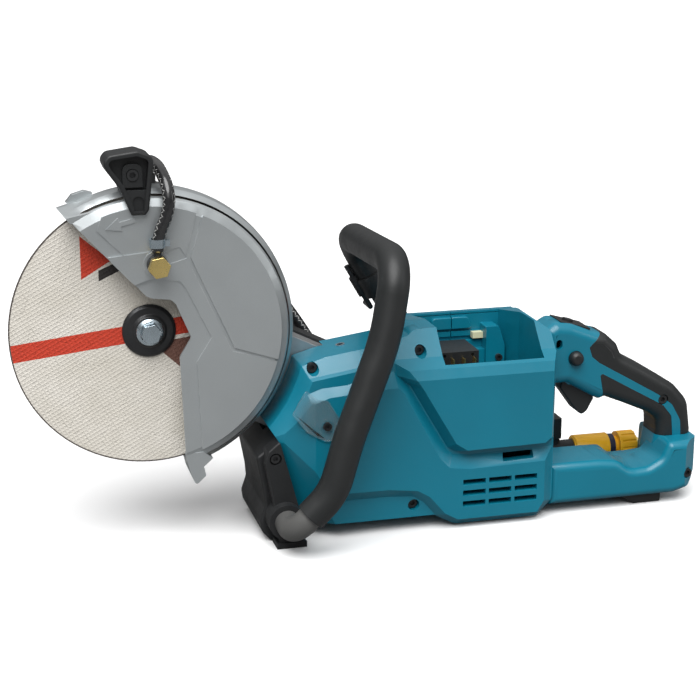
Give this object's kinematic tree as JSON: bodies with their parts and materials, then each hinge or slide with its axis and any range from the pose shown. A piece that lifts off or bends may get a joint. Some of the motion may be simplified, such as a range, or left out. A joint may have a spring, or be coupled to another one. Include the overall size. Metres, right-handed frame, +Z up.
{
  "type": "rescue saw",
  "caption": "Battery rescue cut-off saw: guarded cutting disc on a belt-driven arm, hollow body with open battery bay, front loop handle, rear trigger handle and water supply.",
  "frame": {"origin": "on the ground plane, under the centre of the bounding box", "axes": "+X towards the rear handle, +Y away from the disc side, +Z up"},
  "size_m": [0.615, 0.2022, 0.3438],
  "materials": {
    "disc_abrasive": "rough",
    "black_steel": "satin",
    "zinc_steel": "zinc plated",
    "bright_steel": "machined",
    "motor_iron": "varnished",
    "cast_aluminium": "cast",
    "guard_grey": "satin",
    "brass": "turned",
    "black_plastic": "moulded",
    "black_rubber": "matte",
    "teal_plastic": "moulded",
    "clear_plastic": "clear",
    "grey_tube": "satin",
    "amber_plastic": "moulded",
    "navy_rubber": "matte",
    "cream_plastic": "moulded"
  },
  "bodies": {
    "housing": {"ball_bearings": "bright_steel", "battery_contacts": "brass", "battery_latch_tab": "cream_plastic", "belt_cover": "black_plastic", "body_shell_far": "teal_plastic", "body_shell_near": "teal_plastic", "control_panel": "black_plastic", "controller": "black_plastic", "coupler_body": "amber_plastic", "coupler_seal_ring": "navy_rubber", "drive_arm": "cast_aluminium", "drive_belt": "black_rubber", "front_bracket": "black_plastic", "front_handle_grip": "black_rubber", "front_handle_tube": "grey_tube", "grip_rubber_low": "black_rubber", "grip_rubber_top": "black_rubber", "guard_retaining_ring": "bright_steel", "handle_mount": "cast_aluminium", "hex_wrench": "black_steel", "hose_clips": "black_plastic", "housing_screws": "black_steel", "lifting_insert": "zinc_steel", "motor_stator": "motor_iron", "rear_foot": "black_rubber", "rear_handle_far": "teal_plastic", "rear_handle_near": "teal_plastic", "supply_hose": "black_rubber", "switch_module": "black_plastic", "terminal_block": "black_plastic", "trigger_pin": "black_steel", "trigger_spring": "black_steel", "water_inlet_nipple": "brass", "water_valve": "black_plastic", "window_cover": "clear_plastic", "wrench_clip": "black_plastic"},
    "disc_group": {"cutting_disc": "disc_abrasive", "inner_flange": "black_steel", "outer_flange": "black_steel", "disc_bolt": "zinc_steel", "spindle": "bright_steel", "spindle_pulley": "bright_steel"},
    "motor_group": {"motor_rotor": "bright_steel", "motor_pulley": "bright_steel", "cooling_fan": "black_plastic"},
    "guard": {"guard_shell_near": "guard_grey", "guard_shell_far": "guard_grey", "guard_lever": "black_plastic", "guard_lever_screw": "black_steel", "banjo_fittings": "black_plastic", "banjo_bolts": "brass", "hose_clamps": "zinc_steel", "water_tee": "black_plastic", "guard_hoses": "black_rubber"},
    "trigger": {"trigger": "black_plastic"},
    "lock_off_button": {"lock_off_button": "black_plastic"},
    "power_button": {"power_button": "black_plastic"},
    "water_valve_knob": {"water_valve_knob": "black_plastic"},
    "coupler_collar": {"coupler_collar": "amber_plastic"},
    "spindle_lock_button": {"spindle_lock_button": "black_plastic"}
  },
  "joints": [
    {"name": "disc_spin", "type": "hinge", "parent": "housing", "child": "disc_group", "pos_m": [-0.192, -0.0158, 0.19], "axis": [0, 1, 0], "continuous": true},
    {"name": "motor_spin", "type": "hinge", "parent": "housing", "child": "motor_group", "pos_m": [-0.007, -0.0198, 0.095], "axis": [0, 1, 0], "continuous": true},
    {"name": "guard_turn", "type": "hinge", "parent": "housing", "child": "guard", "pos_m": [-0.192, -0.0158, 0.19], "axis": [0, 1, 0], "range_deg": [-10, 45]},
    {"name": "trigger_pull", "type": "hinge", "parent": "housing", "child": "trigger", "pos_m": [0.187, -0.0008, 0.118], "axis": [0, -1, 0], "range_deg": [0, 9], "stiffness_Nm_per_rad": 0.4, "springref_deg": -11.46},
    {"name": "lock_off_push", "type": "slide", "parent": "housing", "child": "lock_off_button", "axis": [0, 1, 0], "range_m": [0, 0.0035], "stiffness_N_per_m": 400, "springref_m": -0.002},
    {"name": "power_push", "type": "slide", "parent": "housing", "child": "power_button", "axis": [-0.2602, 0, -0.9656], "range_m": [0, 0.0008], "stiffness_N_per_m": 900, "springref_m": -0.001},
    {"name": "valve_turn", "type": "hinge", "parent": "housing", "child": "water_valve_knob", "pos_m": [0.197, 0.0442, 0.05], "axis": [0, 0, 1], "range_deg": [0, 90]},
    {"name": "collar_pull", "type": "slide", "parent": "housing", "child": "coupler_collar", "axis": [-1, 0, 0], "range_m": [0, 0.004], "stiffness_N_per_m": 800, "springref_m": -0.002},
    {"name": "spindle_lock_push", "type": "slide", "parent": "housing", "child": "spindle_lock_button", "axis": [0, -1, 0], "range_m": [0, 0.0055], "stiffness_N_per_m": 300, "springref_m": -0.002}
  ],
  "couplings": [
    {"joint": "motor_spin", "follows": "disc_spin", "ratio": 2.5}
  ]
}
